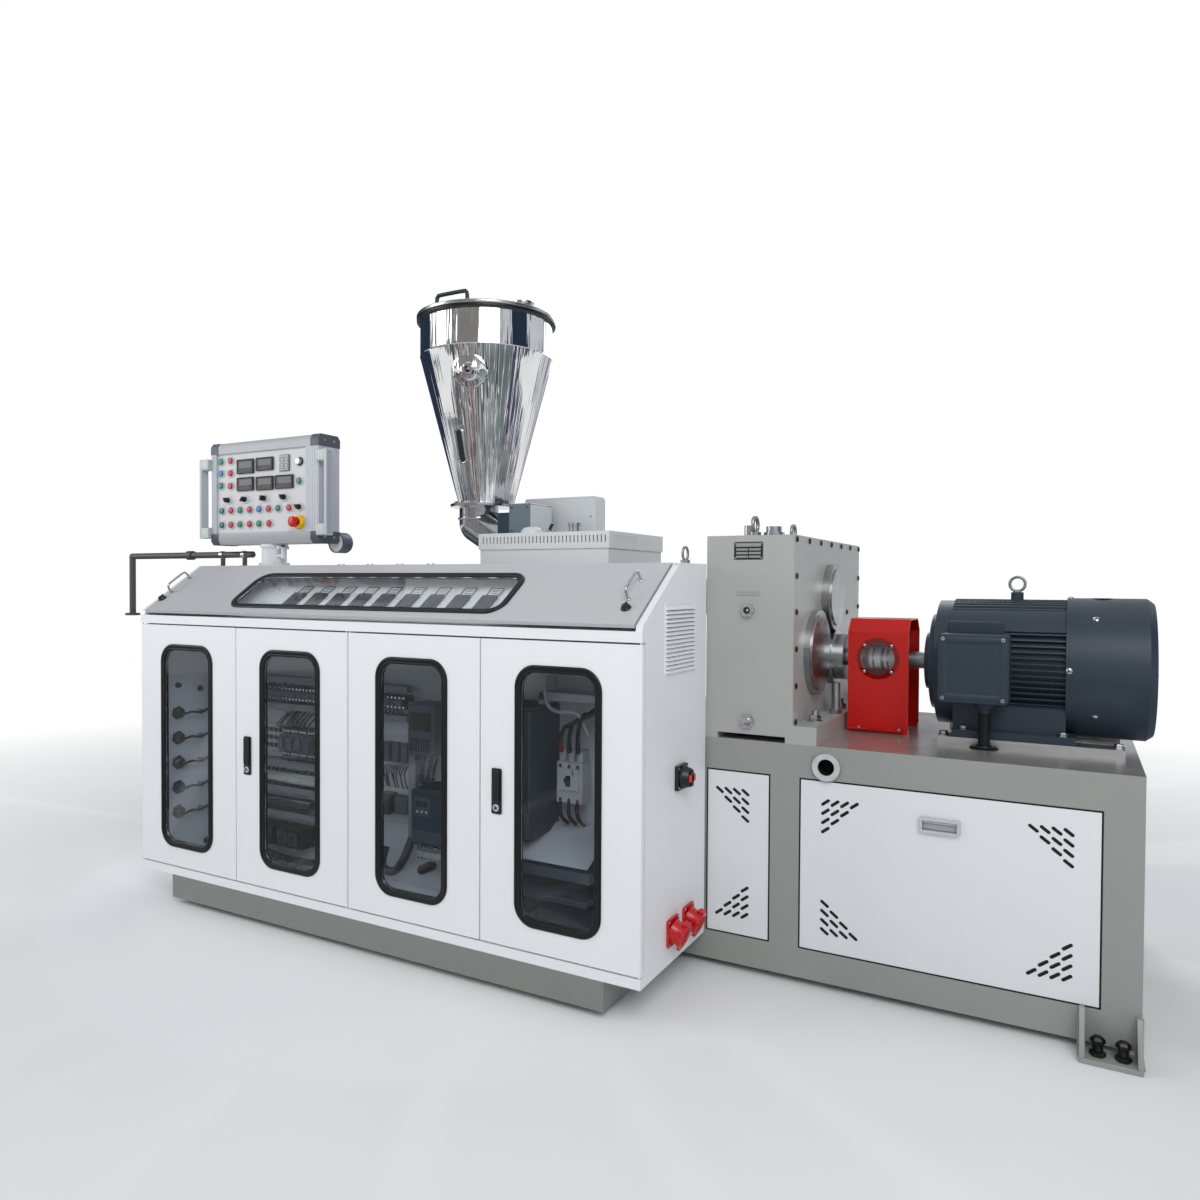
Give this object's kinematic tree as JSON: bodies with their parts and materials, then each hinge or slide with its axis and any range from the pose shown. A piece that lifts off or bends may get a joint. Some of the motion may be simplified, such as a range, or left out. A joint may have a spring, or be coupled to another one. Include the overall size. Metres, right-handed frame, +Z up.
{
  "type": "plastic extruder",
  "caption": "Floor-standing plastic extruder: welded base with gearbox, motor and hopper-fed barrel behind a long glazed switch cabinet with a swivelling control box.",
  "frame": {"origin": "on the floor under the middle of the whole outline", "axes": "+X along the machine towards the motor, +Y from the operator's side to the back, +Z up"},
  "size_m": [3.899, 1.45, 2.353],
  "materials": {
    "base_grey": "satin",
    "cabinet_white": "satin",
    "plate_light": "satin",
    "gear_dark": "matt",
    "bright_steel": "polished",
    "steel": "brushed",
    "gear_grey": "satin",
    "guard_red": "gloss",
    "socket_red": "gloss",
    "switch_black": "matt",
    "clear_plastic": "clear",
    "motor_blue": "painted",
    "rail_steel": "brushed",
    "barrel_steel": "brushed",
    "die_brass": "worn",
    "hopper_steel": "polished",
    "lid_black": "matt",
    "feed_grey": "satin",
    "post_grey": "satin",
    "pipe_dark": "satin",
    "rubber_black": "matt",
    "tinted_glass": "tinted",
    "box_aluminium": "anodised"
  },
  "bodies": {
    "machine": {"base_frame": "base_grey", "foot_brackets": "base_grey", "side_panels": "cabinet_white", "bright_fittings": "bright_steel", "cabinet_body": "cabinet_white", "mount_plates": "plate_light", "cabinet_gear": "gear_dark", "switch_plate": "switch_black", "power_sockets": "socket_red", "lifting_eyes": "steel", "gearbox_housing": "gear_grey", "gearbox_caps": "steel", "coupling_guard": "guard_red", "guard_window": "clear_plastic", "motor_frame": "motor_blue", "motor_rails": "rail_steel", "barrel": "barrel_steel", "barrel_shroud": "cabinet_white", "die_head": "die_brass", "hopper_shell": "hopper_steel", "hopper_lid": "lid_black", "feed_motor": "feed_grey", "panel_post": "post_grey", "vent_pipe": "pipe_dark"},
    "door1_leaf": {"door_1": "cabinet_white", "glass_1": "tinted_glass", "gasket_1": "rubber_black"},
    "door2_leaf": {"door_2": "cabinet_white", "glass_2": "tinted_glass", "gasket_2": "rubber_black", "latch_2": "switch_black"},
    "door3_leaf": {"door_3": "cabinet_white", "glass_3": "tinted_glass", "gasket_3": "rubber_black"},
    "door4_leaf": {"door_4": "cabinet_white", "glass_4": "tinted_glass", "gasket_4": "rubber_black", "latch_4": "switch_black"},
    "lid_leaf": {"lid_panel": "plate_light", "lid_glass": "tinted_glass", "lid_gasket": "rubber_black", "lid_handles": "bright_steel"},
    "box_head": {"control_box": "box_aluminium"},
    "switch_turn": {"switch_knob": "guard_red"},
    "shaft_line": {"drive_coupling": "steel"}
  },
  "joints": [
    {"name": "door1_hinge", "type": "hinge", "parent": "machine", "child": "door1_leaf", "pos_m": [-1.3515, -0.708, 0.585], "axis": [0, 0, -1], "range_deg": [0, 110]},
    {"name": "door2_hinge", "type": "hinge", "parent": "machine", "child": "door2_leaf", "pos_m": [-0.314, -0.708, 0.585], "axis": [0, 0, 1], "range_deg": [0, 85]},
    {"name": "door3_hinge", "type": "hinge", "parent": "machine", "child": "door3_leaf", "pos_m": [-0.299, -0.708, 0.585], "axis": [0, 0, -1], "range_deg": [0, 85]},
    {"name": "door4_hinge", "type": "hinge", "parent": "machine", "child": "door4_leaf", "pos_m": [0.7385, -0.708, 0.585], "axis": [0, 0, 1], "range_deg": [0, 110]},
    {"name": "lid_hinge", "type": "hinge", "parent": "machine", "child": "lid_leaf", "pos_m": [-0.3065, -0.468, 1.247], "axis": [-1, 0, 0], "range_deg": [0, 40]},
    {"name": "box_swivel", "type": "hinge", "parent": "machine", "child": "box_head", "pos_m": [-0.9995, -0.397, 1.337], "axis": [0, 0, 1], "range_deg": [-30, 30]},
    {"name": "switch_turn_joint", "type": "hinge", "parent": "machine", "child": "switch_turn", "pos_m": [0.7535, -0.458, 0.632], "axis": [1, 0, 0], "range_deg": [0, 90]},
    {"name": "shaft_spin", "type": "hinge", "parent": "machine", "child": "shaft_line", "pos_m": [1.1935, 0.202, 0.948], "axis": [1, 0, 0], "continuous": true}
  ]
}
